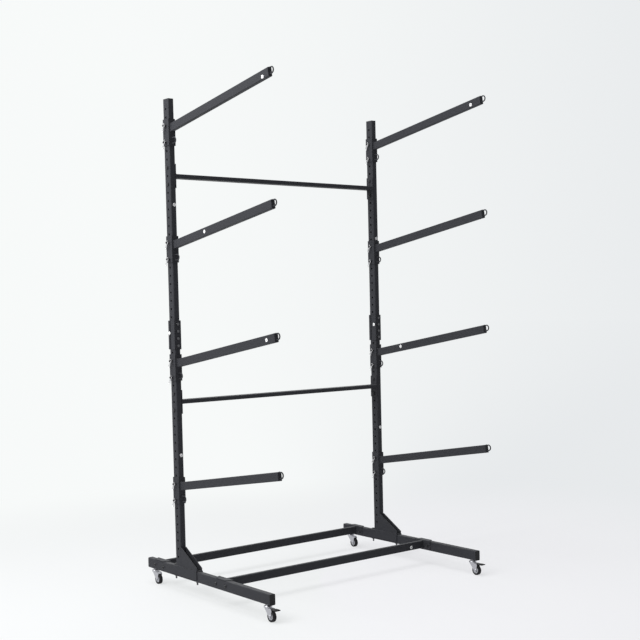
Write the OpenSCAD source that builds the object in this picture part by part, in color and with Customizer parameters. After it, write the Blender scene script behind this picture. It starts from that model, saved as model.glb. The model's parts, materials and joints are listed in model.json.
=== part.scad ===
// Freestanding kayak rack: two perforated uprights on rolling feet, four pairs of pinned arms.
// X runs from the left upright to the right one, the arms reach towards -Y, the floor is z = 0.

/* [Uprights] */
// Distance between the centres of the two uprights
upright_spacing = 1276; // [1100:1:1400]
// Depth of the upright tube, front to back
upright_depth = 50; // [46:1:60]
// Width of the upright tube and of the foot tube
upright_width = 30; // [28:1:40]
// Wall of the upright and foot tubes
tube_wall = 2; // [1.5:0.1:3]
// Outer corner radius of the upright and foot tubes
tube_corner = 5; // [3.5:0.5:6]
// Spacing of the holes in the uprights
hole_pitch = 40; // [38:1:42]
// Diameter of the holes in the uprights
hole_d = 11; // [10.6:0.1:12]
// Distance from a tube's end to its first hole
hole_end = 46; // [42:1:50]
// Holes in each upright tube
hole_count = 27; // [27:1:28]

/* [Feet] */
// Height of the foot tube
foot_height = 50; // [46:1:60]
// How far a foot reaches in front of its upright's centre
foot_front = 767; // [650:1:800]
// How far a foot reaches behind its upright's centre
foot_rear = 298; // [260:1:360]
// Thickness of the flange of the plastic caps on the feet and uprights
cap_flange = 3; // [2:0.5:5]
// Depth of a cap's plug inside its tube
cap_plug = 12; // [8:1:14]
// Clearance of a cap's plug in its tube
cap_fit = 0.1; // [0.05:0.05:0.3]

/* [Foot saddle] */
// Thickness of the saddle and gusset plates
saddle_t = 3; // [2:0.5:4]
// How far the saddle reaches in front of the upright's centre
saddle_front = 168; // [150:1:200]
// How far the saddle reaches behind the upright's centre
saddle_rear = 72; // [66:1:90]
// Depth of the saddle's sides down the foot
saddle_drop = 40; // [30:1:44]
// Height of the gusset plates above the saddle at the upright
gusset_height = 95; // [70:1:110]
// Height of the gusset plates at the saddle's front end
gusset_toe = 14; // [8:1:20]
// Distance of the base bolts from the saddle's ends
base_bolt_inset = 22; // [18:1:26]

/* [Stretchers] */
// Height of the stretcher tube
stretcher_height = 40; // [30:1:44]
// Thickness of the stretcher tube, front to back
stretcher_depth = 20; // [16:1:30]
// Distance of the front stretcher in front of the uprights' centres
stretcher_front = 374; // [300:1:450]
// Distance of the rear stretcher behind the uprights' centres
stretcher_rear = 191; // [160:1:210]
// Distance of the stretcher bolts from the stretcher's centre line
stretcher_bolt_offset = 41; // [34:1:48]
// Half the length of the flange at each end of a stretcher
stretcher_flange_half = 60; // [54:1:70]
// Half the length of the flange's top tab where it ends on the foot
stretcher_tab_half = 40; // [30:1:50]
// Depth of the flange below the top of the foot
stretcher_flange_drop = 46; // [30:1:46]

/* [Crossbars] */
// Height of the crossbar tube, which lies flat
crossbar_height = 20; // [16:1:25]
// Wall of the crossbar, stretcher and arm tubes
light_wall = 1.8; // [1.5:0.1:2.5]
// Corner radius of the crossbar, stretcher and arm tubes
light_corner = 3; // [2.6:0.1:4]
// Height of the end plates of a crossbar
crossbar_plate_height = 116; // [104:1:130]
// Thickness of the welded end plates and flanges
plate_t = 3; // [2:0.5:4]
// Hole at which the lower crossbar is centred, counted up the lower tube
lower_crossbar_hole = 19; // [16:1:20]
// Hole at which the upper crossbar is centred, counted up the upper tube
upper_crossbar_hole = 18; // [13:1:19]

/* [Splice] */
// Length of the splice channels
splice_length = 140; // [130:1:150]
// Thickness of the splice channels
splice_t = 3; // [2:0.5:4]
// Depth of the sides of the front splice channel
splice_front_side = 30; // [20:1:30]
// Depth of the sides of the rear splice channel
splice_rear_side = 10; // [6:1:12]
// Spacing of the splice bolts
splice_bolt_pitch = 35; // [30:1:38]

/* [Arms] */
// Length of an arm tube along its axis
arm_length = 830; // [600:1:850]
// Height of the arm tube
arm_height = 40; // [30:1:50]
// Width of the arm tube
arm_width = 20; // [16:1:25]
// Upward tilt of the arms in degrees
arm_tilt = 9; // [5:0.5:12]
// Drop of the arm's axis below the upper pin at the upright's front face
arm_drop = 11; // [5:1:16]
// Bevel of an arm's upper edge where it is welded to its bracket
weld_bevel = 1; // [0.5:0.1:1.2]
// Thickness of the plate that closes an arm's end
arm_plate_t = 3; // [2:0.5:5]
// Thickness of the bracket that straddles the upright
bracket_t = 3; // [2:0.5:4]
// Clearance between the bracket and the sides of the upright
bracket_gap = 0.4; // [0.2:0.1:1]
// Reach of the bracket above the upper pin
bracket_above = 32; // [26:1:36]
// Reach of the bracket below the lower pin
bracket_below = 16; // [13:1:20]
// Holes between the two pins of an arm
pin_step = 2; // [2:1:2]
// Lower pin hole of the lowest arms, counted up the lower tube
arm1_hole = 7; // [3:1:8]
// Lower pin hole of the second arms, counted up the lower tube
arm2_hole = 22; // [22:1:23]
// Lower pin hole of the third arms, counted up the upper tube
arm3_hole = 8; // [3:1:9]
// Lower pin hole of the top arms, counted up the upper tube
arm4_hole = 22; // [21:1:23]

/* [Strap loops] */
// Wire diameter of the strap loops
loop_wire = 6; // [5:0.5:7]
// Radius of the strap loops along their wire's centre
loop_radius = 13.5; // [10:0.5:14]
// Straight reach of a loop's legs in front of an arm's end
loop_reach = 12; // [8:1:20]
// Height of that loop's centre above the arm's axis
loop_rise = 3.5; // [0:0.5:3.5]
// Straight reach of a loop's legs in front of a bracket
low_loop_reach = 18; // [10:1:24]
// Height of that loop's centre above the bracket's lower pin
low_loop_rise = 8; // [4:1:12]

/* [Hitch pins] */
// Diameter of the hitch pins
pin_d = 10; // [8:0.5:10.4]
// Length of a pin beyond the bracket, at the clip's side
pin_tip = 17; // [16:1:22]
// Distance of the clip's hole from the bracket
clip_offset = 12.5; // [9:0.5:13]
// Diameter of a pin's head
pin_head_d = 20; // [16:1:24]
// Thickness of a pin's head
pin_head_t = 4; // [2:0.5:5]

/* [Spring clips] */
// Wire diameter of the clips
clip_wire = 3; // [2:0.1:3.2]
// Clearance round the clip's leg in the pin's hole, on the radius
clip_fit = 0.08; // [0.05:0.01:0.1]
// Clearance between the clip's curved leg and the pin
clip_gap = 1; // [0.6:0.1:1.5]
// Radius of the two bends beside the curved leg's bulge, along the wire's centre
clip_bend = 4; // [3:0.5:5]
// Radius of the clip's coil along its wire's centre
coil_radius = 5; // [4.5:0.5:6]
// Distance of the coil's centre from the pin's axis
coil_drop = 27; // [24:1:30]
// Length of the clip's straight leg beyond the pin's axis
clip_tip = 12; // [9:1:14]
// Length of the flare at the end of the curved leg
clip_flare = 3; // [2:0.5:4]
// Rearward lean of the hanging clips in degrees
clip_lean = 32; // [0:1:35]

/* [Casters] */
// Height of a caster from the floor to the foot
caster_height = 75; // [72:1:84]
// Diameter of a caster wheel
wheel_d = 50; // [46:1:54]
// Width of a wheel's tyre
wheel_width = 18; // [16:0.5:20]
// Diameter of the hub inside the tyre
hub_d = 32; // [28:1:36]
// Trail of a wheel's axle in front of its stem
caster_trail = 28; // [24:1:32]
// Distance of the front caster stems from the feet's front ends
front_stem_inset = 33; // [30:1:40]
// Distance of the rear caster stems from the feet's rear ends
rear_stem_inset = 46; // [40:1:50]
// Diameter of a caster's stem
stem_d = 10; // [8:0.5:11]
// Length of a stem inside its foot
stem_length = 28; // [20:1:34]
// Diameter of a caster's raceway cap
raceway_d = 38; // [34:1:42]
// Height of a raceway cap
raceway_h = 10; // [8:0.5:12]
// Visible length of a stem between the raceway cap and the foot
stem_neck = 4; // [2:0.5:6]
// Thickness of the sheet of the forks
fork_t = 2; // [1.5:0.1:2.5]
// Gap between a wheel and the fork's leg, on each side
fork_gap = 1; // [0.5:0.1:2]
// Diameter of a wheel's axle
axle_d = 6; // [5:0.5:7]
// Distance of the front edge of a fork's top plate behind the wheel's axle
fork_plate_gap = 6; // [4:1:8]
// Radius of the rounded end of a fork's leg at the axle
leg_end_r = 8; // [7:0.5:10]
// Reach of a leg's front corner beyond its rounded end
leg_nose = 4; // [2:0.5:5]
// Diameter of the pin that a brake pedal turns on
pedal_pin_d = 4; // [3:0.5:5]
// Distance of a pedal's pin in front of the wheel's axle
pedal_pin_ahead = 4; // [2:1:6]
// Height of a pedal's pin above the tyre
pedal_pin_above = 6.5; // [6:0.5:7]
// Reach of a brake pedal in front of the wheel's axle
pedal_reach = 48; // [40:1:54]
// Width of a brake pedal's tread
pedal_width = 26; // [20:1:30]
// Length of a pedal's neck in front of the fork's legs
pedal_neck = 12; // [8:1:16]
// Running clearance of an axle, stem or pedal in its hole, on the radius
running_fit = 0.08; // [0.05:0.01:0.1]

/* [Fasteners] */
// Thread diameter of the bolts of the splice, feet and stretchers
bolt_d = 8; // [6:1:8]
// Thread diameter of the crossbar bolts
cross_bolt_d = 10; // [8:1:10]
// Width of a crossbar bolt's head across the flats
cross_bolt_head = 16; // [15:0.5:17]
// Clearance of a bolt in its hole, on the diameter
bolt_gap = 1; // [0.6:0.1:1.2]
// Width of a bolt's head across the flats
bolt_head = 13; // [12:0.5:14]
// Thickness of a bolt's head and of its nut
bolt_head_t = 5; // [4:0.5:6.5]
// Diameter of a button head
button_d = 14; // [12:0.5:16]
// Length of a base bolt below its nut
base_bolt_tail = 12; // [4:1:16]
// Gap between a nut and its bolt, on the radius
thread_gap = 0.1; // [0.05:0.05:0.2]

/* [Hidden] */
$fn = 48;
wire_lap = 0.05;
SIDES = [-1, 1];
LEVELS = [0 : 3];
side_names = ["left", "right"];
black = [0.13, 0.13, 0.14];
zinc = [0.78, 0.79, 0.8];
plastic = [0.07, 0.07, 0.075];

// Heights of the frame above the floor
foot_z = caster_height;
foot_top = foot_z + foot_height;
tube_z = foot_top + saddle_t;
tube_length = (hole_count - 1) * hole_pitch + 2 * hole_end;
joint_z = tube_z + tube_length;
rack_top = joint_z + tube_length;

// Hole numbers and tubes of the four arm levels, from the lowest up
arm_holes = [arm1_hole, arm2_hole, arm3_hole, arm4_hole];
arm_tubes = [0, 0, 1, 1];

// Half widths of the upright with what wraps it
half_depth = upright_depth / 2;
half_width = upright_width / 2;
bracket_in = half_width + bracket_gap;
bracket_out = bracket_in + bracket_t;
bolt_hole = bolt_d + bolt_gap;
clip_x = bracket_out + clip_offset;

// Stems of the casters, front to back, from the uprights' centres
stem_front_y = -foot_front + front_stem_inset;
stem_rear_y = foot_rear - rear_stem_inset;

// Half widths inside and outside of the saddle and the splice channels
saddle_in = half_width + bracket_gap;
saddle_out = saddle_in + saddle_t;
splice_in = half_width + bracket_gap;
splice_out = splice_in + splice_t;
foot_mid = foot_z + foot_height / 2;
foot_inner = upright_spacing / 2 - half_width;
base_bolt_ys = [base_bolt_inset - saddle_front, saddle_rear - base_bolt_inset];
crossbar_zs = [hole_z(0, lower_crossbar_hole), hole_z(1, upper_crossbar_hole)];

// Curved leg of a clip: the straight line between its end bend and its bulge touches both bends
bulge_entry = 40;
bulge_exit = 18;
flare_angle = 25;
bulge_radius = pin_d / 2 + clip_gap + clip_wire / 2;
bend_centre = (bulge_radius + clip_bend) * [-sin(bulge_entry), cos(bulge_entry)];
bend_away = bend_centre - [-coil_drop, coil_radius];
leg_heading = atan2(bend_away[1], bend_away[0]) - asin((clip_bend + coil_radius) / norm(bend_away));
leg_length = sqrt(norm(bend_away) ^ 2 - (clip_bend + coil_radius) ^ 2);

// Parts of a caster, as [y, z] from its swivel axis at floor level
race_gap = 0.3;
raceway_z = caster_height - stem_neck - raceway_h;
fork_top = raceway_z - race_gap;
leg_in = wheel_width / 2 + fork_gap;
axle = [-caster_trail, wheel_d / 2];
pedal_pin = axle + [-pedal_pin_ahead, wheel_d / 2 + pedal_pin_above];
lobe_drop = norm(pedal_pin - axle) - wheel_d / 2 - pedal_pin_d / 2 - 1.5 * race_gap;

// The rack's own middle, which the frame's origin stands under
pin_left_end = upright_spacing / 2 + bracket_out + pin_tip;
pin_right_end = upright_spacing / 2 + bracket_out + pin_head_t;
loop_out = arm_length + arm_plate_t + loop_reach;
loop_y = -half_depth - loop_out * cos(arm_tilt) + loop_rise * sin(arm_tilt);
rack_front = loop_y - loop_radius - loop_wire / 2;
rack_rear = foot_rear + cap_flange;
shift_x = (pin_left_end - pin_right_end) / 2;
shift_y = -(rack_front + rack_rear) / 2;

function side_name(side) = side_names[(side + 1) / 2];
function arm_name(side, level) = str(side_name(side), "_arm_", level + 1);
function clip_name(side, level, row) = str(side_name(side), "_clip_", level + 1, ["_lower", "_upper"][row]);
function caster_name(what, side, end) = str(["front_", "rear_"][(end + 1) / 2], side_name(side), "_", what);
function pedal_name(side) = str(side_name(side), "_brake_pedal");

// Height of a hole, counted from 0 at the bottom of its tube
function hole_z(tube, hole) = tube_z + tube * tube_length + hole_end + hole * hole_pitch;
function pin_z(level, row) = hole_z(arm_tubes[level], arm_holes[level] + row * pin_step);
function stretcher_y(end) = end < 0 ? -stretcher_front : stretcher_rear;
function stem_y(end) = end < 0 ? stem_front_y : stem_rear_y;

// Moves a piece from the uprights' centre plane to its place over the frame's origin
module placed() {
    translate([shift_x, shift_y, 0]) children();
}

// Moves a piece to the centre of one upright, at floor level
module at_side(side) {
    placed() translate([side * upright_spacing / 2, 0, 0]) children();
}

// ---- Shapes used more than once ----

module round_rect(x, y, r) {
    square([x - 2 * r, y], center = true);
    square([x, y - 2 * r], center = true);
    for (i = SIDES, j = SIDES)
        translate([i * (x / 2 - r), j * (y / 2 - r)]) circle(r);
}

// Rectangular tube standing on z = 0
module tube(x, y, length, wall, r) {
    linear_extrude(length)
        difference() {
            round_rect(x, y, r);
            round_rect(x - 2 * wall, y - 2 * wall, r - wall);
        }
}

module tube_along_x(depth, height, length, wall, r) {
    translate([-length / 2, 0, 0]) rotate([90, 0, 90]) tube(depth, height, length, wall, r);
}

module tube_along_y(width, height, y0, y1, wall, r) {
    translate([0, y1, 0]) rotate([90, 0, 0]) tube(width, height, y1 - y0, wall, r);
}

module block(x0, x1, y0, y1, z0, z1) {
    translate([x0, y0, z0]) cube([x1 - x0, y1 - y0, z1 - z0]);
}

// Cylinders centred on the origin, which serve as rods and as holes
module rod_along_x(length, d) {
    translate([-length / 2, 0, 0]) rotate([0, 90, 0]) cylinder(h = length, d = d);
}

module rod_along_y(length, d) {
    translate([0, length / 2, 0]) rotate([90, 0, 0]) cylinder(h = length, d = d);
}

// Wire that follows lines and bends in the XY plane, from the origin towards +X:
// a step is [length] for a line, or [radius, angle] for a bend, positive to the left.
// Even steps lap into their neighbours by a hair and are a hair thinner, so that they join cleanly.
module wire_path(steps, wire, i = 0) {
    if (i < len(steps)) {
        step = steps[i];
        lap = i % 2 == 0 ? wire_lap : 0;
        d = i % 2 == 0 ? wire - wire_lap / 2 : wire;
        if (len(step) == 1) {
            translate([-lap, 0, 0]) rotate([0, 90, 0]) cylinder(h = step[0] + 2 * lap, d = d);
            translate([step[0], 0, 0]) wire_path(steps, wire, i + 1);
        } else {
            side = step[1] > 0 ? 1 : -1;
            first = side > 0 ? -90 : 90 + step[1];
            lap_angle = lap / step[0] * 180 / PI;
            translate([0, side * step[0], 0])
                rotate([0, 0, first - lap_angle])
                    rotate_extrude(angle = abs(step[1]) + 2 * lap_angle)
                        translate([step[0], 0]) circle(d = d);
            translate([0, side * step[0], 0])
                rotate([0, 0, step[1]])
                    translate([0, -side * step[0], 0]) wire_path(steps, wire, i + 1);
        }
    }
}

// Hexagonal bolt along +Z whose head seats on z = 0, with its nut at the far end of the grip
module bolt_and_nut(grip, tail = bolt_d / 4, d = bolt_d, head = bolt_head) {
    hexagon = head / cos(30);
    translate([0, 0, -bolt_head_t]) cylinder(h = bolt_head_t, d = hexagon, $fn = 6);
    cylinder(h = grip + bolt_head_t + tail, d = d);
    nut(grip, d, hexagon);
}

// Button-headed screw along +Z with a hexagonal socket, and its nut
module button_screw_and_nut(grip) {
    rim = 0.4 * bolt_head_t;
    difference() {
        union() {
            translate([0, 0, -rim]) cylinder(h = rim + grip + bolt_head_t + bolt_d / 4, d = bolt_d);
            translate([0, 0, -rim]) cylinder(h = rim, d = button_d);
            translate([0, 0, -bolt_head_t])
                cylinder(h = bolt_head_t - rim, d1 = 0.7 * button_d, d2 = button_d);
        }
        translate([0, 0, -bolt_head_t - 1]) cylinder(h = 1 + 0.7 * bolt_head_t, d = 0.7 * bolt_d, $fn = 6);
    }
    nut(grip, bolt_d, bolt_head / cos(30));
}

module nut(grip, d, hexagon) {
    translate([0, 0, grip])
        difference() {
            cylinder(h = bolt_head_t, d = hexagon, $fn = 6);
            translate([0, 0, -1]) cylinder(h = bolt_head_t + 2, d = d + 2 * thread_gap);
        }
}

// ---- Uprights ----

// Perforated tube standing on z = 0
module perforated_tube() {
    difference() {
        tube(upright_width, upright_depth, tube_length, tube_wall, tube_corner);
        for (i = [0 : hole_count - 1])
            translate([0, 0, hole_end + i * hole_pitch]) rod_along_x(upright_width + 2, hole_d);
    }
}

// Holes of the splice bolts, in one half of the splice or in both
module splice_holes(halves = SIDES) {
    for (half = halves, i = [0.5, 1.5])
        translate([0, 0, half * i * splice_bolt_pitch]) rod_along_y(2 * upright_depth, bolt_hole);
}

// Two plates in front of the upright, flush with its sides
module gusset_plates() {
    for (i = SIDES)
        translate([i * (half_width - saddle_t / 2) - saddle_t / 2, 0, 0])
            rotate([90, 0, 90])
                linear_extrude(saddle_t)
                    polygon([
                        [-half_depth + tube_wall, -1],
                        [-half_depth + tube_wall, gusset_height],
                        [-half_depth - saddle_t, gusset_height],
                        [-saddle_front, gusset_toe],
                        [-saddle_front, -1]
                    ]);
}

// Channel that straddles the foot
module foot_saddle() {
    difference() {
        block(-saddle_out, saddle_out, -saddle_front, saddle_rear, foot_top - saddle_drop, tube_z);
        block(-saddle_in, saddle_in, -saddle_front - 1, saddle_rear + 1, 0, foot_top);
        base_bolt_holes();
    }
}

module base_bolt_holes() {
    for (y = base_bolt_ys)
        translate([0, y, foot_z - 1]) cylinder(h = foot_height + saddle_t + 2, d = bolt_hole);
}

module lower_upright(side) {
    color(black) at_side(side) {
        translate([0, 0, tube_z]) {
            difference() {
                perforated_tube();
                translate([0, 0, tube_length]) splice_holes([-1]);
            }
            gusset_plates();
        }
        foot_saddle();
    }
}

module upper_upright(side) {
    color(black) at_side(side)
        translate([0, 0, joint_z])
            difference() {
                perforated_tube();
                splice_holes([1]);
            }
}

module upright_top_caps() {
    color(plastic)
        for (side = SIDES)
            at_side(side) translate([0, 0, rack_top]) tube_cap(upright_width, upright_depth);
}

// Cap that closes the top of a tube at z = 0, with its plug below
module tube_cap(x, y) {
    inset = 2 * (tube_wall + cap_fit);
    linear_extrude(cap_flange) round_rect(x, y, tube_corner);
    translate([0, 0, -cap_plug])
        linear_extrude(cap_plug + 1) round_rect(x - inset, y - inset, tube_corner - inset / 2);
}

// ---- Splice between the lower and the upper tube ----

// Channel behind the face at -Y whose sides reach back by side_depth
module splice_channel(side_depth) {
    difference() {
        block(-splice_out, splice_out, -half_depth - splice_t, -half_depth + side_depth,
              -splice_length / 2, splice_length / 2);
        block(-splice_in, splice_in, -half_depth, half_depth, -splice_length, splice_length);
        splice_holes();
    }
}

module splice_channels() {
    color(black)
        for (side = SIDES)
            at_side(side)
                translate([0, 0, joint_z]) {
                    splice_channel(splice_front_side);
                    rotate([0, 0, 180]) splice_channel(splice_rear_side);
                }
}

module splice_bolts() {
    color(zinc)
        for (side = SIDES, half = SIDES, i = [0.5, 1.5])
            at_side(side)
                translate([0, -half_depth - splice_t, joint_z + half * i * splice_bolt_pitch])
                    rotate([-90, 0, 0]) bolt_and_nut(upright_depth + 2 * splice_t);
}

// ---- Feet ----

module foot(side) {
    color(black) at_side(side)
        difference() {
            translate([0, 0, foot_mid])
                tube_along_y(upright_width, foot_height, -foot_front, foot_rear, tube_wall, tube_corner);
            base_bolt_holes();
            for (end = SIDES) {
                stretcher_bolt_holes(end);
                translate([0, stem_y(end), foot_z - 1]) cylinder(h = tube_wall + 2, d = stem_d + bolt_gap);
            }
        }
}

module foot_end_caps() {
    color(plastic)
        for (side = SIDES)
            at_side(side) {
                translate([0, -foot_front, foot_mid])
                    rotate([90, 0, 0]) tube_cap(upright_width, foot_height);
                translate([0, foot_rear, foot_mid])
                    rotate([-90, 0, 0]) tube_cap(upright_width, foot_height);
            }
}

module base_bolts() {
    color(zinc)
        for (side = SIDES, y = base_bolt_ys)
            at_side(side)
                translate([0, y, tube_z])
                    rotate([180, 0, 0]) bolt_and_nut(foot_height + saddle_t, base_bolt_tail);
}

// ---- Stretchers between the feet ----

module stretcher_bolt_holes(end) {
    for (i = SIDES)
        translate([0, stretcher_y(end) + i * stretcher_bolt_offset, foot_mid])
            rod_along_x(2 * upright_width, bolt_hole);
}

// Flange on the inner face of the right foot, with its tab on top of the foot
module stretcher_end(end) {
    difference() {
        block(foot_inner - plate_t, foot_inner, -stretcher_flange_half, stretcher_flange_half,
              foot_top - stretcher_flange_drop, foot_top + plate_t);
        translate([foot_inner, -stretcher_y(end), 0]) stretcher_bolt_holes(end);
    }
    translate([0, 0, foot_top])
        linear_extrude(plate_t)
            polygon([
                [foot_inner - 1, -stretcher_flange_half],
                [foot_inner, -stretcher_flange_half],
                [foot_inner + upright_width, -stretcher_tab_half],
                [foot_inner + upright_width, stretcher_tab_half],
                [foot_inner, stretcher_flange_half],
                [foot_inner - 1, stretcher_flange_half]
            ]);
}

module stretcher(end) {
    color(black) placed()
        translate([0, stretcher_y(end), 0]) {
            translate([0, 0, foot_top - stretcher_height / 2])
                tube_along_x(stretcher_depth, stretcher_height, 2 * foot_inner - plate_t,
                             light_wall, light_corner);
            stretcher_end(end);
            mirror([1, 0, 0]) stretcher_end(end);
        }
}

module stretcher_bolts() {
    color(black)
        for (side = SIDES, end = SIDES, i = SIDES)
            placed()
                translate([
                    side * (upright_spacing / 2 + half_width),
                    stretcher_y(end) + i * stretcher_bolt_offset,
                    foot_mid
                ])
                    rotate([0, -side * 90, 0]) button_screw_and_nut(upright_width + plate_t);
}

// ---- Crossbars between the uprights ----

module crossbar(z) {
    color(black) placed()
        translate([0, 0, z]) {
            tube_along_x(upright_depth, crossbar_height, 2 * foot_inner - plate_t,
                         light_wall, light_corner);
            for (side = SIDES)
                translate([side * (foot_inner - plate_t / 2), 0, 0])
                    difference() {
                        block(-plate_t / 2, plate_t / 2, -half_depth, half_depth,
                              -crossbar_plate_height / 2, crossbar_plate_height / 2);
                        for (i = SIDES)
                            translate([0, 0, i * hole_pitch]) rod_along_x(2 * plate_t, hole_d);
                    }
        }
}

module crossbar_bolts() {
    color(black)
        for (side = SIDES, z = crossbar_zs, i = SIDES)
            placed()
                translate([side * (upright_spacing / 2 + half_width), 0, z + i * hole_pitch])
                    rotate([0, -side * 90, 0])
                        bolt_and_nut(upright_width + plate_t, d = cross_bolt_d, head = cross_bolt_head);
}

// ---- Arms ----

// Places a piece on an arm's axis: the origin lies on the upright's front face, the arm runs along -Y
module on_arm(side, level) {
    at_side(side)
        translate([0, -half_depth, pin_z(level, 1) - arm_drop]) rotate([-arm_tilt, 0, 0]) children();
}

module arm(side, level) {
    top_edge = [0, -(bracket_t + arm_height / 2 * sin(arm_tilt)) / cos(arm_tilt), arm_height / 2];
    bevel = sqrt(2) * weld_bevel;
    color(black) {
        difference() {
            on_arm(side, level)
                tube_along_y(arm_width, arm_height, -arm_length, arm_height, light_wall, light_corner);
            on_arm(side, level)
                translate(top_edge) rotate([45, 0, 0]) cube([2 * arm_width, bevel, bevel], center = true);
            at_side(side)
                translate([0, -half_depth - bracket_t / 2, pin_z(level, 1)])
                    block(-arm_width, arm_width, 0, 3 * arm_height, -3 * arm_height, 3 * arm_height);
        }
        at_side(side) bracket(level);
    }
}

// Channel that straddles the upright and hangs on two pins
module bracket(level) {
    low = pin_z(level, 0) - bracket_below;
    high = pin_z(level, 1) + bracket_above;
    difference() {
        block(-bracket_out, bracket_out, -half_depth - bracket_t, half_depth, low, high);
        block(-bracket_in, bracket_in, -half_depth, half_depth + 1, low - 1, high + 1);
        for (row = [0, 1])
            translate([0, 0, pin_z(level, row)]) rod_along_x(2 * bracket_out + 2, hole_d);
    }
}

module arm_end_plates() {
    color(black)
        for (side = SIDES, level = LEVELS)
            on_arm(side, level)
                translate([0, -arm_length, 0])
                    rotate([90, 0, 0])
                        linear_extrude(arm_plate_t) round_rect(arm_width, arm_height, light_corner);
}

// Wire loop that stands on the XZ plane with its bend towards -Y
module strap_loop(reach) {
    translate([0, -wire_lap, loop_radius])
        rotate([-90, 0, -90])
            wire_path([[reach], [loop_radius, 180], [reach]], loop_wire);
}

// Loops on the arms' end plates and, below the arms, on their brackets
module strap_loops() {
    color(black)
        for (side = SIDES, level = LEVELS) {
            on_arm(side, level)
                translate([0, -arm_length - arm_plate_t, loop_rise]) strap_loop(loop_reach);
            at_side(side)
                translate([0, -half_depth - bracket_t, pin_z(level, 0) + low_loop_rise])
                    strap_loop(low_loop_reach);
        }
}

// ---- Hitch pins and their clips ----

// Pin along X through the middle of an upright, its tip towards -X
module hitch_pin() {
    chamfer = pin_d / 8;
    difference() {
        union() {
            translate([-bracket_out - pin_tip, 0, 0])
                rotate([0, 90, 0]) {
                    cylinder(h = chamfer, d1 = pin_d - 2 * chamfer, d2 = pin_d);
                    translate([0, 0, chamfer])
                        cylinder(h = 2 * bracket_out + pin_tip - chamfer + 1, d = pin_d);
                }
            translate([bracket_out, 0, 0])
                rotate([0, 90, 0]) {
                    cylinder(h = pin_head_t - chamfer, d = pin_head_d);
                    translate([0, 0, pin_head_t - chamfer])
                        cylinder(h = chamfer, d1 = pin_head_d, d2 = pin_head_d - 2 * chamfer);
                }
        }
        translate([-clip_x, 0, 0])
            rotate([clip_lean, 0, 0])
                translate([0, 0, -pin_d]) cylinder(h = 2 * pin_d, d = clip_wire + 2 * clip_fit);
    }
}

module hitch_pins() {
    color(black)
        for (side = SIDES, level = LEVELS, row = [0, 1])
            at_side(side) translate([0, 0, pin_z(level, row)]) hitch_pin();
}

// Clip whose straight leg lies on the X axis through the pin at the origin;
// the other leg bulges round the pin and every part of it clears the pin as the clip slides off
module spring_clip() {
    translate([clip_tip, 0, 0])
        rotate([0, 0, 180])
            wire_path([
                [clip_tip + coil_drop],
                [coil_radius, leg_heading - 180],
                [leg_length],
                [clip_bend, bulge_entry - leg_heading],
                [bulge_radius, -bulge_entry - bulge_exit],
                [clip_bend, bulge_exit + flare_angle],
                [clip_flare]
            ], clip_wire);
}

module clip(side, level, row) {
    color(zinc)
        at_side(side)
            translate([-clip_x, 0, pin_z(level, row)])
                rotate([clip_lean, 0, 0]) mirror([0, 1, 0]) rotate([0, -90, 0]) spring_clip();
}

// ---- Casters ----

// Places a piece on a caster's swivel axis, at floor level
module at_caster(side, end) {
    at_side(side) translate([0, stem_y(end), 0]) children();
}

// Stem with its raceway cap above the fork and its riveted head below the fork's top
module caster_stem() {
    rivet = fork_top - fork_t - race_gap - fork_t;
    translate([0, 0, rivet]) {
        cylinder(h = fork_t, d = 1.6 * stem_d);
        cylinder(h = caster_height + stem_length - rivet, d = stem_d);
    }
    translate([0, 0, raceway_z]) {
        cylinder(h = 0.6 * raceway_h, d = raceway_d);
        translate([0, 0, 0.6 * raceway_h])
            cylinder(h = 0.4 * raceway_h, d1 = raceway_d, d2 = 0.7 * raceway_d);
        cylinder(h = raceway_h + stem_neck, d = 1.7 * stem_d, $fn = 6);
    }
}

module caster_stems() {
    color(zinc)
        for (side = SIDES, end = SIDES)
            at_caster(side, end) caster_stem();
}

// Sleeves welded inside the feet round the stems
module caster_sockets() {
    color(black)
        for (side = SIDES, end = SIDES)
            at_caster(side, end)
                translate([0, 0, foot_z + tube_wall])
                    difference() {
                        cylinder(h = stem_length, d = upright_width - 2 * tube_corner);
                        translate([0, 0, -1]) cylinder(h = stem_length + 1 - tube_wall, d = stem_d);
                    }
}

// Point of a circle where a line from p nearly touches it, in the YZ plane
function touch(p, turn) =
    let (away = p - axle, angle = atan2(away[1], away[0]), r = 0.97 * leg_end_r)
    axle + r * [cos(angle + turn * acos(r / norm(away))), sin(angle + turn * acos(r / norm(away)))];

// One leg of a fork, in the YZ plane through x = 0
module fork_leg() {
    rear = [raceway_d / 3, fork_top];
    front = [axle[0] - leg_end_r - leg_nose, fork_top - leg_end_r];
    rotate([90, 0, 90])
        linear_extrude(fork_t) {
            polygon([
                rear, [front[0] + 0.4 * leg_end_r, fork_top],
                front, touch(front, 1), touch(rear, -1)
            ]);
            translate(axle) circle(leg_end_r);
        }
}

module fork(side, end) {
    color(zinc) at_caster(side, end) {
        difference() {
            translate([0, 0, fork_top - fork_t]) {
                cylinder(h = fork_t, d = raceway_d - 4);
                block(-leg_in - fork_t / 2, leg_in + fork_t / 2, axle[0] + fork_plate_gap, 0, 0, fork_t);
            }
            cylinder(h = caster_height, d = stem_d + 2 * running_fit);
        }
        translate([leg_in, 0, 0]) fork_leg();
        translate([-leg_in - fork_t, 0, 0]) fork_leg();
        translate([0, axle[0], axle[1]]) {
            rod_along_x(2 * (leg_in + fork_t) + axle_d / 2, axle_d);
            for (i = SIDES)
                translate([i * (leg_in + fork_t + axle_d / 4), 0, 0]) rod_along_x(axle_d / 2, 1.7 * axle_d);
        }
        if (end < 0)
            translate([0, pedal_pin[0], pedal_pin[1]])
                rod_along_x(2 * (leg_in + fork_t) + pedal_pin_d / 4, pedal_pin_d);
    }
}

module at_axle(side, end) {
    at_caster(side, end) translate([0, axle[0], axle[1]]) children();
}

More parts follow.
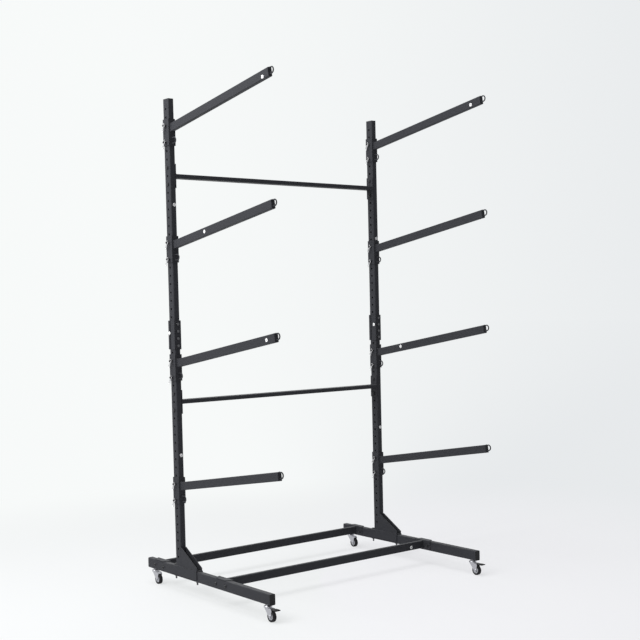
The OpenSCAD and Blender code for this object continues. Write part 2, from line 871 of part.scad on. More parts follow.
module hub(side, end) {
    color([0.55, 0.56, 0.58]) at_axle(side, end)
        difference() {
            union() {
                rod_along_x(wheel_width - 2 * fork_gap, hub_d);
                rod_along_x(2 * leg_in - 2 * race_gap, 0.45 * hub_d);
            }
            rod_along_x(4 * wheel_width, axle_d + 2 * running_fit);
        }
}

module tyre(side, end) {
    tread = (wheel_d - hub_d) / 2;
    color(plastic) at_axle(side, end)
        rotate([0, 90, 0])
            rotate_extrude()
                translate([hub_d / 2 + tread / 2, 0]) round_rect(tread, wheel_width, tread / 3);
}

// Lever between a front fork's legs, with a lobe that presses on the tyre when it is stepped down
module brake_pedal(side) {
    neck = leg_in - race_gap;
    lobe = neck - pedal_pin_d / 2;
    color(plastic) at_caster(side, -1)
        translate([0, pedal_pin[0], pedal_pin[1]])
            difference() {
                union() {
                    rod_along_x(2 * neck, 2.2 * pedal_pin_d);
                    translate([0, 0, -lobe_drop]) rod_along_x(2 * lobe, pedal_pin_d);
                    block(-lobe, lobe, -pedal_pin_d / 2, pedal_pin_d / 2, -lobe_drop, 0);
                    block(-neck, neck, -leg_end_r - pedal_neck, 0, 0, pedal_pin_d);
                    block(-pedal_width / 2, pedal_width / 2, axle[0] - pedal_reach - pedal_pin[0],
                          -leg_end_r - pedal_neck / 2, 0, pedal_pin_d);
                }
                rod_along_x(4 * neck, pedal_pin_d + 2 * running_fit);
            }
}

for (side = SIDES) {
    name = side_name(side);
    lower_upright(side);
    upper_upright(side);
    foot(side);
    brake_pedal(side);
}
splice_channels();
splice_bolts();
foot_end_caps();
upright_top_caps();
stretcher(-1);  // front_stretcher
stretcher(1);  // rear_stretcher
stretcher_bolts();
base_bolts();
crossbar(crossbar_zs[0]);  // lower_crossbar
crossbar(crossbar_zs[1]);  // upper_crossbar
crossbar_bolts();
arm_end_plates();
strap_loops();
hitch_pins();
caster_stems();
caster_sockets();
for (side = SIDES, level = LEVELS) {
    arm(side, level);
    for (row = [0, 1])
        clip(side, level, row);
}
for (side = SIDES, end = SIDES) {
    fork(side, end);
    hub(side, end);
    tyre(side, end);
}
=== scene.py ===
import json
import math

import bpy
from mathutils import Matrix, Vector


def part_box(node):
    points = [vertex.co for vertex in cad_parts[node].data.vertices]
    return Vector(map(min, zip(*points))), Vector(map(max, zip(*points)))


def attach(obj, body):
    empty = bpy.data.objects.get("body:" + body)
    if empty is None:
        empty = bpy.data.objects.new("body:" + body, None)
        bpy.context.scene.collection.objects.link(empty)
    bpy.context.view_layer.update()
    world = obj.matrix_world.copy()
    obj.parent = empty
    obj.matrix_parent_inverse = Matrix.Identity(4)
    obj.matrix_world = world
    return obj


MM = 0.001

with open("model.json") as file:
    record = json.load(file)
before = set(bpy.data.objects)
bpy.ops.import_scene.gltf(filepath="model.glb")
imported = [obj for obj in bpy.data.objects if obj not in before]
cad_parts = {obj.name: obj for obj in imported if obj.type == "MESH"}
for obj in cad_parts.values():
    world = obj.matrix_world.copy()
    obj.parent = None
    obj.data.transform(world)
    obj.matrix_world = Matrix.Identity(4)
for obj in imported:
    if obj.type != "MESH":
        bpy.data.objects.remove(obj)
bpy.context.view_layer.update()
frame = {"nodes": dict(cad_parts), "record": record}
nodes = frame["nodes"]
record = frame["record"]


# ---- The rack's main sizes ----

def middle(node):
    low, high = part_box(node)
    return (Vector(low) + Vector(high)) / 2


SIDES = ("left", "right")
UPRIGHT_Y = middle("left_upper_upright").y
UPRIGHT_X = {side: middle(f"{side}_upper_upright").x for side in SIDES}
UPRIGHT_WIDTH = 30 * MM
UPRIGHT_DEPTH = 50 * MM
FRONT_FACE = UPRIGHT_Y - UPRIGHT_DEPTH / 2
SADDLE_T = 3 * MM
SADDLE_SIDE = 18.4 * MM
PLATE_T = 3 * MM
BRACKET_T = 3 * MM
ARM_WIDTH = 20 * MM
ARM_HEIGHT = 40 * MM
ARM_LENGTH = 830 * MM
CROSSBAR_T = 20 * MM
STRETCHER_T = 20 * MM
STRETCHER_H = 40 * MM
FOOT_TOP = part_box("left_foot")[1][2]
SPLICE_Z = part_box("left_upper_upright")[0][2]
NUT_T = 5 * MM
BOLT_D = 8 * MM
BASE_BOLT_Y = (-146 * MM, 50 * MM)
SPLICE_T = 3 * MM
SPLICE_BOLT_PITCH = 35 * MM
GUSSET_REACH = 138 * MM
LOOP_RADIUS = 13.5 * MM
LOOP_WELD_REACH = 3.4 * MM
ARM_LOOP_RISE = 3.5 * MM
BRACKET_LOOP_RISE = 8 * MM
HUB_WIDTH = 16 * MM
TYRE_WIDTH = 18 * MM
PEDAL_TOP = 60.5 * MM
LOWER_PIN_Z = [z * MM for z in (454, 1054, 1626, 2186)]


# ---- Camera ----

def aim_camera():
    """Camera at the photograph's place: position and angles in the rack's frame."""
    position = Vector((-3.5442, -4.6463, 1.3851))
    yaw, pitch, roll = (math.radians(a) for a in (39.309, -2.699, -1.220))
    focal_pixels = 1165.5
    centre_pixel = (354.85, 360.26)
    frame_pixels = 640

    ahead = Vector((math.sin(yaw) * math.cos(pitch), math.cos(yaw) * math.cos(pitch), math.sin(pitch)))
    level_right = Vector((math.cos(yaw), -math.sin(yaw), 0))
    level_up = level_right.cross(ahead)
    right = math.cos(roll) * level_right + math.sin(roll) * level_up
    up = math.cos(roll) * level_up - math.sin(roll) * level_right

    data = bpy.data.cameras.new("camera")
    data.sensor_width = 36
    data.lens = focal_pixels / frame_pixels * data.sensor_width
    data.shift_x = 0.5 - centre_pixel[0] / frame_pixels
    data.shift_y = centre_pixel[1] / frame_pixels - 0.5
    data.clip_end = 300
    camera = bpy.data.objects.new("camera", data)
    bpy.context.scene.collection.objects.link(camera)
    camera.matrix_world = Matrix((
        (right.x, up.x, -ahead.x, position.x),
        (right.y, up.y, -ahead.y, position.y),
        (right.z, up.z, -ahead.z, position.z),
        (0, 0, 0, 1),
    ))
    bpy.context.scene.camera = camera


# ---- Shader tools ----

FLOAT = "NodeSocketFloat"
COLOUR = "NodeSocketColor"
VECTOR = "NodeSocketVector"


def new_group(name, inputs, outputs):
    """Shader node group with named sockets; returns the tree and its two ends."""
    tree = bpy.data.node_groups.new(name, "ShaderNodeTree")
    for direction, sockets in (("INPUT", inputs), ("OUTPUT", outputs)):
        for label, kind, value in sockets:
            socket = tree.interface.new_socket(label, in_out=direction, socket_type=kind)
            if value is not None:
                socket.default_value = value
    return tree, tree.nodes.new("NodeGroupInput"), tree.nodes.new("NodeGroupOutput")


def add(tree, kind, **settings):
    """New node; a setting is a property of it, or one of its inputs when its name ends in "_"."""
    node = tree.nodes.new(kind)
    for name, value in settings.items():
        if name.endswith("_"):
            node.inputs[name[:-1]].default_value = value
        else:
            setattr(node, name, value)
    return node


def ramp(tree, source, low, high, to_low=0.0, to_high=1.0):
    """Smooth step of a value between two levels; returns its output socket."""
    step = add(tree, "ShaderNodeMapRange", interpolation_type="SMOOTHSTEP")
    for label, value in (("From Min", low), ("From Max", high), ("To Min", to_low), ("To Max", to_high)):
        step.inputs[label].default_value = value
    tree.links.new(source, step.inputs["Value"])
    return step.outputs["Result"]


def times(tree, a, b):
    product = add(tree, "ShaderNodeMath", operation="MULTIPLY")
    tree.links.new(a, product.inputs[0])
    if isinstance(b, float):
        product.inputs[1].default_value = b
    else:
        tree.links.new(b, product.inputs[1])
    return product.outputs[0]


def build_grain():
    """Fine dimples with slow blotches: gives a height, and a mask that varies over the surface."""
    tree, start, end = new_group(
        "grain",
        [("Grain Scale", FLOAT, 900.0), ("Blotch Scale", FLOAT, 9.0)],
        [("Height", FLOAT, None), ("Blotch", FLOAT, None)],
    )
    place = add(tree, "ShaderNodeTexCoord")
    fine = add(tree, "ShaderNodeTexNoise", Detail_=3.0, Roughness_=0.55)
    slow = add(tree, "ShaderNodeTexNoise", Detail_=4.0, Roughness_=0.6)
    for noise, label in ((fine, "Grain Scale"), (slow, "Blotch Scale")):
        tree.links.new(place.outputs["Object"], noise.inputs["Vector"])
        tree.links.new(start.outputs[label], noise.inputs["Scale"])
    tree.links.new(fine.outputs["Fac"], end.inputs["Height"])
    tree.links.new(slow.outputs["Fac"], end.inputs["Blotch"])
    return tree


def build_edge_wear_and_highlight():
    """Softly rounded normal, and a mask that rises in patches along the edges: it lightens the edges,
    partly as rubbed paint and partly as a painted highlight.
    """
    tree, start, end = new_group(
        "edge_wear_and_highlight",
        [("Radius", FLOAT, 0.0008), ("Patch Scale", FLOAT, 30.0)],
        [("Normal", VECTOR, None), ("Mask", FLOAT, None)],
    )
    rounded = add(tree, "ShaderNodeBevel", samples=4)
    surface = add(tree, "ShaderNodeNewGeometry")
    place = add(tree, "ShaderNodeTexCoord")
    patches = add(tree, "ShaderNodeTexNoise", Detail_=3.0)
    agree = add(tree, "ShaderNodeVectorMath", operation="DOT_PRODUCT")
    tree.links.new(start.outputs["Radius"], rounded.inputs["Radius"])
    tree.links.new(place.outputs["Object"], patches.inputs["Vector"])
    tree.links.new(start.outputs["Patch Scale"], patches.inputs["Scale"])
    tree.links.new(rounded.outputs["Normal"], agree.inputs[0])
    tree.links.new(surface.outputs["Normal"], agree.inputs[1])
    edge = ramp(tree, agree.outputs["Value"], 0.99, 0.8)
    patch = ramp(tree, patches.outputs["Fac"], 0.35, 0.65, 0.25, 1.0)
    tree.links.new(times(tree, edge, patch), end.inputs["Mask"])
    tree.links.new(rounded.outputs["Normal"], end.inputs["Normal"])
    return tree


def build_dust():
    """Mask of thin dust that settles on what faces up."""
    tree, start, end = new_group("dust", [("Patch Scale", FLOAT, 14.0)], [("Mask", FLOAT, None)])
    surface = add(tree, "ShaderNodeNewGeometry")
    parts = add(tree, "ShaderNodeSeparateXYZ")
    place = add(tree, "ShaderNodeTexCoord")
    patches = add(tree, "ShaderNodeTexNoise", Detail_=5.0, Roughness_=0.65)
    tree.links.new(surface.outputs["Normal"], parts.inputs[0])
    tree.links.new(place.outputs["Object"], patches.inputs["Vector"])
    tree.links.new(start.outputs["Patch Scale"], patches.inputs["Scale"])
    upward = ramp(tree, parts.outputs["Z"], 0.4, 0.95)
    patch = ramp(tree, patches.outputs["Fac"], 0.3, 0.75, 0.3, 1.0)
    tree.links.new(times(tree, upward, patch), end.inputs["Mask"])
    return tree


GRAIN = build_grain()
EDGE_WEAR_AND_HIGHLIGHT = build_edge_wear_and_highlight()
DUST = build_dust()


def mixed(tree, share, low, high):
    """Colour between low and high, each a colour or a socket, by a share; returns its socket."""
    mix = add(tree, "ShaderNodeMix", data_type="RGBA")
    tree.links.new(share, mix.inputs[0])
    for slot, value in ((6, low), (7, high)):
        if isinstance(value, tuple):
            mix.inputs[slot].default_value = (*value, 1)
        else:
            tree.links.new(value, mix.inputs[slot])
    return mix.outputs[2]


def finish_material(name, colour, roughness, worn_and_highlit=None, wear_and_highlight=0.5, dust=0.1, metallic=0.0, specular=0.5,
                    grain=900.0, blotch=9.0, bump=0.1, spread=0.12, rough_spread=0.08):
    """Material whose colour and gloss vary a little, with a fine grain, edges lightened as rubbed paint and
    as a painted highlight, and thin dust.
    """
    material = bpy.data.materials.new(name)
    material.use_nodes = True
    tree = material.node_tree
    shader = tree.nodes["Principled BSDF"]
    shader.inputs["Metallic"].default_value = metallic
    shader.inputs["Specular IOR Level"].default_value = specular
    texture = add(tree, "ShaderNodeGroup", node_tree=GRAIN)
    texture.inputs["Grain Scale"].default_value = grain
    texture.inputs["Blotch Scale"].default_value = blotch
    edges = add(tree, "ShaderNodeGroup", node_tree=EDGE_WEAR_AND_HIGHLIGHT)
    settled = add(tree, "ShaderNodeGroup", node_tree=DUST)

    tone = mixed(
        tree, texture.outputs["Blotch"],
        tuple(c * (1 - spread) for c in colour), tuple(min(1.0, c * (1 + spread)) for c in colour),
    )
    # Edge tone: a paler colour for rubbed paint that also serves as a painted highlight.
    worn_and_highlit = worn_and_highlit or tuple(min(1.0, 1.6 * c) for c in colour)
    tone = mixed(tree, times(tree, edges.outputs["Mask"], wear_and_highlight), tone, worn_and_highlit)
    tone = mixed(tree, times(tree, settled.outputs["Mask"], dust), tone, (0.46, 0.45, 0.43))
    tree.links.new(tone, shader.inputs["Base Color"])

    gloss = ramp(
        tree, texture.outputs["Blotch"], 0.3, 0.7, roughness - rough_spread, roughness + rough_spread,
    )
    tree.links.new(gloss, shader.inputs["Roughness"])

    relief = add(tree, "ShaderNodeBump", Strength_=bump, Distance_=0.0004)
    tree.links.new(texture.outputs["Height"], relief.inputs["Height"])
    tree.links.new(edges.outputs["Normal"], relief.inputs["Normal"])
    tree.links.new(relief.outputs["Normal"], shader.inputs["Normal"])
    return material


# Each finish's paler edge tone is partly rubbed paint and partly a painted highlight.
FINISHES = {
    "powder_coat": finish_material(
        "powder_coat", (0.038, 0.039, 0.044), 0.5, worn_and_highlit=(0.07, 0.071, 0.075), wear_and_highlight=0.3, dust=0.06,
        specular=0.08, grain=700, bump=0.35,
    ),
    "zinc_plate": finish_material(
        "zinc_plate", (0.50, 0.50, 0.53), 0.34, worn_and_highlit=(0.70, 0.70, 0.72), metallic=1.0, grain=400, blotch=60,
    ),
    "dark_zinc": finish_material(
        "dark_zinc", (0.10, 0.10, 0.105), 0.4, worn_and_highlit=(0.34, 0.34, 0.35), metallic=1.0, grain=500, blotch=80,
    ),
    "spring_steel": finish_material(
        "spring_steel", (0.80, 0.80, 0.81), 0.38, worn_and_highlit=(0.9, 0.9, 0.9), metallic=0.75, grain=500, blotch=90,
    ),
    "black_oxide": finish_material(
        "black_oxide", (0.028, 0.028, 0.031), 0.38, worn_and_highlit=(0.16, 0.16, 0.165), dust=0.04, specular=0.25,
        grain=1200,
    ),
    "black_plastic": finish_material(
        "black_plastic", (0.024, 0.024, 0.026), 0.5, dust=0.04, specular=0.15, grain=1500, bump=0.2,
    ),
    "hub_plastic": finish_material("hub_plastic", (0.42, 0.43, 0.45), 0.4, grain=1500),
    "tyre_rubber": finish_material(
        "tyre_rubber", (0.022, 0.022, 0.024), 0.72, worn_and_highlit=(0.06, 0.06, 0.06), dust=0.05, specular=0.15,
        grain=800, bump=0.3,
    ),
    "label_paper": finish_material("label_paper", (0.90, 0.90, 0.89), 0.6, dust=0.0, wear_and_highlight=0.1, spread=0.03),
    "label_ink": finish_material("label_ink", (0.03, 0.03, 0.035), 0.6, dust=0.0, wear_and_highlight=0.1),
}


def dress_nodes():
    slots = {part["node"]: part["material_slot"] for part in record["subparts"]}
    for name, piece in nodes.items():
        finish = slots[name]
        if "_clip_" in name:
            finish = "spring_steel"
        elif name in ("splice_bolts", "base_bolts"):
            finish = "dark_zinc"
        piece.data.materials.clear()
        piece.data.materials.append(FINISHES[finish])


# ---- Mesh tools ----


def new_piece(name, verts, faces, finish, body="rack", smooth=True):
    """Mesh in the rack's frame that rides on a body and wears one of the finishes."""
    mesh = bpy.data.meshes.new(name)
    mesh.from_pydata([tuple(v) for v in verts], [], faces)
    mesh.materials.append(FINISHES[finish])
    mesh.polygons.foreach_set("use_smooth", [smooth] * len(mesh.polygons))
    mesh.update()
    piece = bpy.data.objects.new(name, mesh)
    bpy.context.scene.collection.objects.link(piece)
    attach(piece, body)
    return piece


def spaced(corners, step):
    """Points along the lines through the corners, about one step apart."""
    points = []
    for start, end in zip(corners, corners[1:]):
        count = max(1, round((end - start).length / step))
        points += [start.lerp(end, i / count) for i in range(count)]
    return points + [corners[-1]]


def swept(verts, faces, points, radii, sides):
    """Adds a closed string of rings round the points, each with its own radius, to verts and faces."""
    first = len(verts)
    for i, point in enumerate(points):
        ahead = (points[min(i + 1, len(points) - 1)] - points[max(i - 1, 0)]).normalized()
        across = ahead.orthogonal().normalized()
        beside = ahead.cross(across)
        for k in range(sides):
            turn = k / sides * math.tau
            verts.append(point + radii[i] * (math.cos(turn) * across + math.sin(turn) * beside))
    for i in range(len(points) - 1):
        for k in range(sides):
            a = first + i * sides + k
            b = first + i * sides + (k + 1) % sides
            faces.append((a, b, b + sides, a + sides))
    faces.append(tuple(first + k for k in reversed(range(sides))))
    last = first + (len(points) - 1) * sides
    faces.append(tuple(last + k for k in range(sides)))


def bead(runs, radius=2.4 * MM, ripple=3.2 * MM, sides=8):
    """Weld beads along lists of corners: round strings whose thickness pulses like laid drops."""
    verts, faces = [], []
    for corners in runs:
        points = spaced([Vector(c) for c in corners], ripple / 4)
        travelled = [0.0]
        for a, b in zip(points, points[1:]):
            travelled.append(travelled[-1] + (b - a).length)
        radii = []
        for i, way in enumerate(travelled):
            end_taper = min(1.0, 0.35 + min(i, len(points) - 1 - i) / 6)
            radii.append(radius * end_taper * (1 + 0.14 * math.sin(way / ripple * math.tau)))
        swept(verts, faces, points, radii, sides)
    return verts, faces


# ---- Welds ----

def ring_of(corners):
    return [*corners, corners[0]]


def arm_places():
    """For each arm: its name and the matrix of its own frame, whose origin lies on the upright's
    front face and whose -Y axis is the arm's axis."""
    tops = {m["name"]: m for m in record["mounts"] if m["name"].endswith("_top")}
    for side in SIDES:
        for level in range(1, 5):
            top = tops[f"{side}_arm_{level}_top"]
            up = Vector(top["axis"]).normalized()
            across = Vector((1, 0, 0))
            back = up.cross(across)
            turn = Matrix((across, back, up)).transposed()
            root = Vector(top["pos_m"]) - turn @ Vector((0, -ARM_LENGTH / 2, ARM_HEIGHT / 2))
            yield f"{side}_arm_{level}", Matrix.Translation(root) @ turn.to_4x4()


def weld_arms():
    """Fillet round each arm where it meets its bracket, and round its end plate."""
    runs = []
    for _, place in arm_places():
        face_y = place.translation.y - BRACKET_T
        along = place.to_3x3() @ Vector((0, -1, 0))
        corners = []
        for x, z in ((-1, -1), (1, -1), (1, 1), (-1, 1)):
            corner = place @ Vector((x * ARM_WIDTH / 2, 0, z * ARM_HEIGHT / 2))
            corners.append(corner + along * ((face_y - corner.y) / along.y))
        runs.append(ring_of(corners))
    new_piece("arm_welds", *bead(runs), "powder_coat")


def weld_crossbars():
    """Fillet round each crossbar where it meets its end plates."""
    runs = []
    for name in ("lower_crossbar", "upper_crossbar"):
        low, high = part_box(name)
        z = (low[2] + high[2]) / 2
        for x in (low[0] + PLATE_T, high[0] - PLATE_T):
            runs.append(ring_of([
                (x, y, z + dz)
                for y, dz in (
                    (low[1], -CROSSBAR_T / 2), (high[1], -CROSSBAR_T / 2),
                    (high[1], CROSSBAR_T / 2), (low[1], CROSSBAR_T / 2),
                )
            ]))
    new_piece("crossbar_welds", *bead(runs, radius=2.0 * MM), "powder_coat")


def weld_stretchers():
    """Fillet round each stretcher where it meets its flanges."""
    runs = []
    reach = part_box("left_foot")[1][0] + PLATE_T
    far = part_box("right_foot")[0][0] - PLATE_T
    for name in ("front_stretcher", "rear_stretcher"):
        y = middle(name).y
        for x in (reach, far):
            runs.append(ring_of([
                (x, y + dy * STRETCHER_T / 2, z)
                for dy, z in (
                    (-1, FOOT_TOP - STRETCHER_H), (1, FOOT_TOP - STRETCHER_H),
                    (1, FOOT_TOP), (-1, FOOT_TOP),
                )
            ]))
    new_piece("stretcher_welds", *bead(runs, radius=2.0 * MM), "powder_coat")


def weld_saddles():
    """Beads along the gusset plates' feet and behind the uprights' feet."""
    runs = []
    saddle_z = FOOT_TOP + SADDLE_T
    back = UPRIGHT_Y + UPRIGHT_DEPTH / 2
    corner_gap = 3 * MM
    for x in UPRIGHT_X.values():
        for k in (-1, 1):
            edge = x + k * UPRIGHT_WIDTH / 2
            runs.append([(edge, FRONT_FACE - GUSSET_REACH, saddle_z), (edge, back - corner_gap, saddle_z)])
        half = UPRIGHT_WIDTH / 2 - corner_gap
        runs.append([(x - half, back, saddle_z), (x + half, back, saddle_z)])
    new_piece("saddle_welds", *bead(runs), "powder_coat")


def loop_places():
    """For each strap loop: a matrix, and the point in its frame that lies between the legs' feet."""
    for _, place in arm_places():
        yield place, (0, -ARM_LENGTH - PLATE_T, ARM_LOOP_RISE)
    for x in UPRIGHT_X.values():
        for pin_z in LOWER_PIN_Z:
            yield Matrix.Identity(4), (x, FRONT_FACE - BRACKET_T, pin_z + BRACKET_LOOP_RISE)


def weld_loops():
    """Small beads round the feet of the strap loops."""
    runs = []
    reach, steps = LOOP_WELD_REACH, 12
    for place, (x, y, z) in loop_places():
        for k in (-1, 1):
            foot_z = z + k * LOOP_RADIUS
            runs.append([
                place @ Vector((x + reach * math.cos(a), y, foot_z + reach * math.sin(a)))
                for a in [i / steps * math.tau for i in range(steps + 1)]
            ])
    new_piece("loop_welds", *bead(runs, radius=1.5 * MM, ripple=2.4 * MM, sides=6), "powder_coat")


# ---- Threads ----

def thread(verts, faces, start, ahead, length, pitch=1.25 * MM, steps=16):
    """Adds the ridge of a screw thread round a bolt's tail, from start for a length."""
    ahead = ahead.normalized()
    across = ahead.orthogonal().normalized()
    beside = ahead.cross(across)
    count = int(length / pitch * steps)
    first = len(verts)
    for i in range(count + 1):
        turn = i / steps * math.tau
        out = math.cos(turn) * across + math.sin(turn) * beside
        way = i / steps * pitch
        depth = min(1.0, i / 4, (count - i) / 4)
        for dr, dz in ((-0.05, -0.45), (0.34 * depth, 0.0), (-0.05, 0.45)):
            place = min(max(way + dz * pitch, 0), length)
            verts.append(start + ahead * place + out * (BOLT_D / 2 + dr * MM))
    for i in range(count):
        a = first + 3 * i
        faces.append((a, a + 1, a + 4, a + 3))
        faces.append((a + 1, a + 2, a + 5, a + 4))


def thread_bolts():
    """Threads on the tails of the bolts that show them."""
    verts, faces = [], []
    foot_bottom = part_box("left_foot")[0][2]
    for x in UPRIGHT_X.values():
        for y in BASE_BOLT_Y:
            start = Vector((x, UPRIGHT_Y + y, foot_bottom - NUT_T))
            thread(verts, faces, start, Vector((0, 0, -1)), 11.6 * MM)
        nut_back = UPRIGHT_Y + UPRIGHT_DEPTH / 2 + SPLICE_T + NUT_T
        for k in (-1.5, -0.5, 0.5, 1.5):
            start = Vector((x, nut_back, SPLICE_Z + k * SPLICE_BOLT_PITCH))
            thread(verts, faces, start, Vector((0, 1, 0)), 1.8 * MM)
    new_piece("bolt_threads", verts, faces, "dark_zinc", smooth=False)


# ---- Casters ----

def hoop(x, y, z, radius):
    """Closed ring of points round an axle along X."""
    return [
        Vector((x, y + radius * math.cos(a), z + radius * math.sin(a)))
        for a in [k / 48 * math.tau for k in range(49)]
    ]


def string(runs, radius, sides=8):
    """Even round strings through lists of points."""
    verts, faces = [], []
    for points in runs:
        swept(verts, faces, points, [radius] * len(points), sides)
    return verts, faces


def detail_wheels():
    """Rim and ribs moulded on each hub's faces, and a bead on each wall of its tyre."""
    rim, boss = 14.8 * MM, 7.0 * MM
    wall_bead = 20.5 * MM
    spokes = 8
    for side in SIDES:
        for end in ("front", "rear"):
            wheel = f"{end}_{side}_wheel"
            x, y, z = middle(f"{end}_{side}_tyre")
            ribs, beads = [], []
            for k in (-1, 1):
                face = x + k * HUB_WIDTH / 2
                ribs.append(hoop(face, y, z, rim))
                for i in range(spokes):
                    turn = (i + 0.5) / spokes * math.tau
                    out = Vector((0, math.cos(turn), math.sin(turn)))
                    ribs.append([Vector((face, y, z)) + out * r for r in (boss, rim)])
                beads.append(hoop(x + k * (TYRE_WIDTH / 2 - 0.1 * MM), y, z, wall_bead))
            new_piece(f"{end}_{side}_hub_ribs", *string(ribs, 0.7 * MM), "hub_plastic", wheel)
            new_piece(f"{end}_{side}_tyre_beads", *string(beads, 0.5 * MM), "tyre_rubber", wheel)


def rib_pedals():
    """Grip ribs across the tread of each brake pedal."""
    first, pitch, inset = 3 * MM, 3.4 * MM, 2 * MM
    for side in SIDES:
        low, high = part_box(f"{side}_brake_pedal")
        runs = []
        for i in range(5):
            y = low[1] + first + i * pitch
            runs.append([Vector((x, y, PEDAL_TOP)) for x in (low[0] + inset, high[0] - inset)])
        new_piece(f"{side}_pedal_ribs", *string(runs, 0.8 * MM), "black_plastic", f"{side}_pedal")


# ---- Labels ----

def disc(verts, faces, centre, normal, up, radius, height, sides=36):
    """Adds a thin round sticker whose rim is a little rounded."""
    normal, up = normal.normalized(), up.normalized()
    side = up.cross(normal)
    first = len(verts)
    for r, h in ((1.0, 0.0), (1.0, 0.6), (0.985, 1.0)):
        for k in range(sides):
            turn = k / sides * math.tau
            out = math.cos(turn) * side + math.sin(turn) * up
            verts.append(centre + radius * r * out + normal * height * h)
    for ring in range(2):
        for k in range(sides):
            a = first + ring * sides + k
            b = first + ring * sides + (k + 1) % sides
            faces.append((a, b, b + sides, a + sides))
    faces.append(tuple(first + 2 * sides + k for k in range(sides)))


def label_places():
    """Centre, outward direction and upward direction of each round label."""
    arms = dict(arm_places())
    out = Vector((-1, 0, 0))
    for name, along, above in (
        ("left_arm_4", 787.8, -8.5), ("left_arm_3", 287.3, 1.1), ("left_arm_2", 770.9, -0.9),
        ("right_arm_4", 765.7, -4.4), ("right_arm_2", 199.9, 5.0),
    ):
        place = arms[name]
        yield (place @ Vector((-ARM_WIDTH / 2, -along * MM, above * MM)), out,
               place.to_3x3() @ Vector((0, 0, 1)))
    forward, up = Vector((0, -1, 0)), Vector((0, 0, 1))
    for side, dx, z in (
        ("left", 3.4, 1887.6), ("left", 2.2, 674.1), ("right", 1.6, 1750.5), ("right", 2.8, 706.6),
    ):
        yield Vector((UPRIGHT_X[side] + dx * MM, FRONT_FACE, z * MM)), forward, up
    yield Vector((UPRIGHT_X["left"] - SADDLE_SIDE, UPRIGHT_Y + 19.0 * MM, 1269.3 * MM)), out, up
    yield Vector((UPRIGHT_X["right"] - SADDLE_SIDE, UPRIGHT_Y - 12.2 * MM, 1277.4 * MM)), out, up
    stretcher_front = middle("front_stretcher").y - STRETCHER_T / 2
    yield Vector((UPRIGHT_X["right"] - 105.4 * MM, stretcher_front, 100.8 * MM)), forward, up


def stick_labels():
    """Round paper labels with a plain bar on each."""
    paper, ink = ([], []), ([], [])
    radius, thickness, ink_height = 8.5 * MM, 0.15 * MM, 0.152 * MM
    bar_width, bar_height = 2.2 * MM, 5.6 * MM
    for centre, normal, up in label_places():
        disc(*paper, centre, normal, up, radius, thickness)
        side = up.cross(normal)
        mid = centre + normal * ink_height
        first = len(ink[0])
        for i, j in ((-1, -1), (1, -1), (1, 1), (-1, 1)):
            ink[0].append(mid + i * bar_width / 2 * side + j * bar_height / 2 * up)
        ink[1].append(tuple(first + k for k in range(4)))
    new_piece("part_labels", *paper, "label_paper", smooth=False)
    new_piece("label_bars", *ink, "label_ink", smooth=False)


# ---- Floor, backdrop and light ----

BRIGHT_SIDE = Vector((-0.774, 0.633, 0.0))
FLOOR_COLOUR = (0.72, 0.72, 0.735)
OWN_LIGHT = 0.66
FLOOR_FADE = (1.2, 3.6)
WALL_FAR = (0.80, 0.82, 0.835)
FLOOR_FAR = (0.95, 0.955, 0.975)
NEAR_TONE = (0.935, 0.955, 0.95)
ROOM_SIDE = Vector((-0.80, 0.35, 0.49))
ROOM_DIM = (0.13, 0.13, 0.135)
ROOM_BRIGHT = (0.36, 0.37, 0.39)
LAMPS = (
    ("left_soft_box", (-3.0, 0.4, 3.2), (-0.4, 0, 1.0), 1.8, 95),
    ("top_soft_box", (-1.0, 0.5, 6.5), (0, 0, 1.0), 5.0, 300),
)


def build_backdrop_tone():
    """Colour of the pale backdrop in a direction: it darkens a little towards the right."""
    tree, start, end = new_group(
        "backdrop_tone",
        [("Direction", VECTOR, None), ("Far Colour", COLOUR, (*WALL_FAR, 1))],
        [("Colour", COLOUR, None)],
    )
    level = add(tree, "ShaderNodeVectorMath", operation="NORMALIZE")
    side = add(tree, "ShaderNodeVectorMath", operation="DOT_PRODUCT")
    side.inputs[1].default_value = BRIGHT_SIDE
    tree.links.new(start.outputs["Direction"], level.inputs[0])
    tree.links.new(level.outputs[0], side.inputs[0])
    share = ramp(tree, side.outputs["Value"], -0.40, 0.22)
    tree.links.new(mixed(tree, share, start.outputs["Far Colour"], NEAR_TONE), end.inputs["Colour"])
    return tree


BACKDROP_TONE = build_backdrop_tone()


def seen_directly(tree):
    """1 for what the camera sees, straight or in a gloss, and 0 for light on matte surfaces."""
    ray = add(tree, "ShaderNodeLightPath")
    share = ray.outputs["Is Camera Ray"]
    for kind in ("Is Glossy Ray", "Is Transmission Ray"):
        either = add(tree, "ShaderNodeMath", operation="MAXIMUM")
        tree.links.new(share, either.inputs[0])
        tree.links.new(ray.outputs[kind], either.inputs[1])
        share = either.outputs[0]
    return share


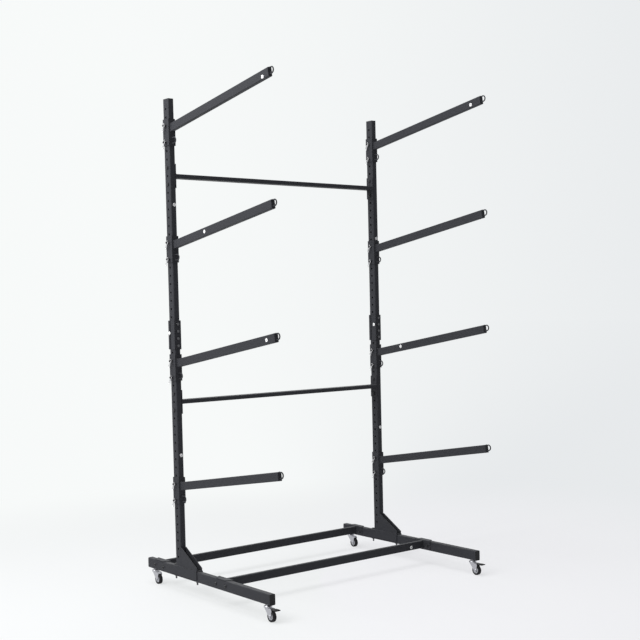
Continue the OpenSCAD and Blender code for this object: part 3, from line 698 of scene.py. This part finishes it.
def floor_material():
    """Pale floor that takes shadows near the rack and fades into the backdrop's colour."""
    material = bpy.data.materials.new("floor")
    material.use_nodes = True
    tree = material.node_tree
    tree.nodes.clear()
    end = add(tree, "ShaderNodeOutputMaterial")
    surface = add(tree, "ShaderNodeNewGeometry")
    reach = add(tree, "ShaderNodeVectorMath", operation="LENGTH")
    tree.links.new(surface.outputs["Position"], reach.inputs[0])
    tone = add(tree, "ShaderNodeGroup", node_tree=BACKDROP_TONE)
    tree.links.new(surface.outputs["Position"], tone.inputs["Direction"])
    away = ramp(tree, reach.outputs["Value"], *FLOOR_FADE)
    tree.links.new(mixed(tree, away, FLOOR_FAR, WALL_FAR), tone.inputs["Far Colour"])
    glow = add(tree, "ShaderNodeEmission")
    tree.links.new(tone.outputs["Colour"], glow.inputs["Color"])
    matte = add(tree, "ShaderNodeBsdfDiffuse")
    matte.inputs["Color"].default_value = (*FLOOR_COLOUR, 1)

    share = ramp(tree, reach.outputs["Value"], *FLOOR_FADE, OWN_LIGHT, 1.0)
    blend = add(tree, "ShaderNodeMixShader")
    tree.links.new(times(tree, seen_directly(tree), share), blend.inputs[0])
    tree.links.new(matte.outputs[0], blend.inputs[1])
    tree.links.new(glow.outputs[0], blend.inputs[2])
    tree.links.new(blend.outputs[0], end.inputs["Surface"])
    return material


def build_floor():
    half = 60
    corners = [(-half, -half, 0), (half, -half, 0), (half, half, 0), (-half, half, 0)]
    mesh = bpy.data.meshes.new("floor")
    mesh.from_pydata(corners, [], [(0, 1, 2, 3)])
    floor = bpy.data.objects.new("floor", mesh)
    bpy.context.scene.collection.objects.link(floor)
    mesh.materials.append(floor_material())


def build_world():
    """Room light that is strongest from the left, behind and above, and the backdrop the camera sees."""
    world = bpy.data.worlds.new("studio")
    bpy.context.scene.world = world
    world.use_nodes = True
    tree = world.node_tree
    tree.nodes.clear()
    end = add(tree, "ShaderNodeOutputWorld")
    place = add(tree, "ShaderNodeTexCoord")
    towards = add(tree, "ShaderNodeVectorMath", operation="DOT_PRODUCT")
    towards.inputs[1].default_value = ROOM_SIDE
    tree.links.new(place.outputs["Generated"], towards.inputs[0])
    room = add(tree, "ShaderNodeBackground")
    room.inputs["Strength"].default_value = 1.0
    share = ramp(tree, towards.outputs["Value"], -0.5, 0.9)
    tree.links.new(mixed(tree, share, ROOM_DIM, ROOM_BRIGHT), room.inputs["Color"])
    backdrop = add(tree, "ShaderNodeBackground")
    backdrop.inputs["Strength"].default_value = 1.0
    tone = add(tree, "ShaderNodeGroup", node_tree=BACKDROP_TONE)
    tree.links.new(place.outputs["Generated"], tone.inputs["Direction"])
    tree.links.new(tone.outputs["Colour"], backdrop.inputs["Color"])
    blend = add(tree, "ShaderNodeMixShader")
    tree.links.new(seen_directly(tree), blend.inputs[0])
    tree.links.new(room.outputs[0], blend.inputs[1])
    tree.links.new(backdrop.outputs[0], blend.inputs[2])
    tree.links.new(blend.outputs[0], end.inputs["Surface"])


def soft_box(name, place, target, size, power):
    """Square area lamp at place that faces target."""
    data = bpy.data.lights.new(name, "AREA")
    data.size = size
    data.energy = power
    lamp = bpy.data.objects.new(name, data)
    bpy.context.scene.collection.objects.link(lamp)
    lamp.location = place
    lamp.rotation_euler = (Vector(target) - Vector(place)).to_track_quat("-Z", "Y").to_euler()


aim_camera()
build_world()
build_floor()
for name, *settings in LAMPS:
    soft_box(name, *settings)
dress_nodes()
weld_arms()
weld_crossbars()
weld_stretchers()
weld_saddles()
weld_loops()
thread_bolts()
detail_wheels()
rib_pedals()
stick_labels()

bpy.context.scene.view_settings.view_transform = "Standard"
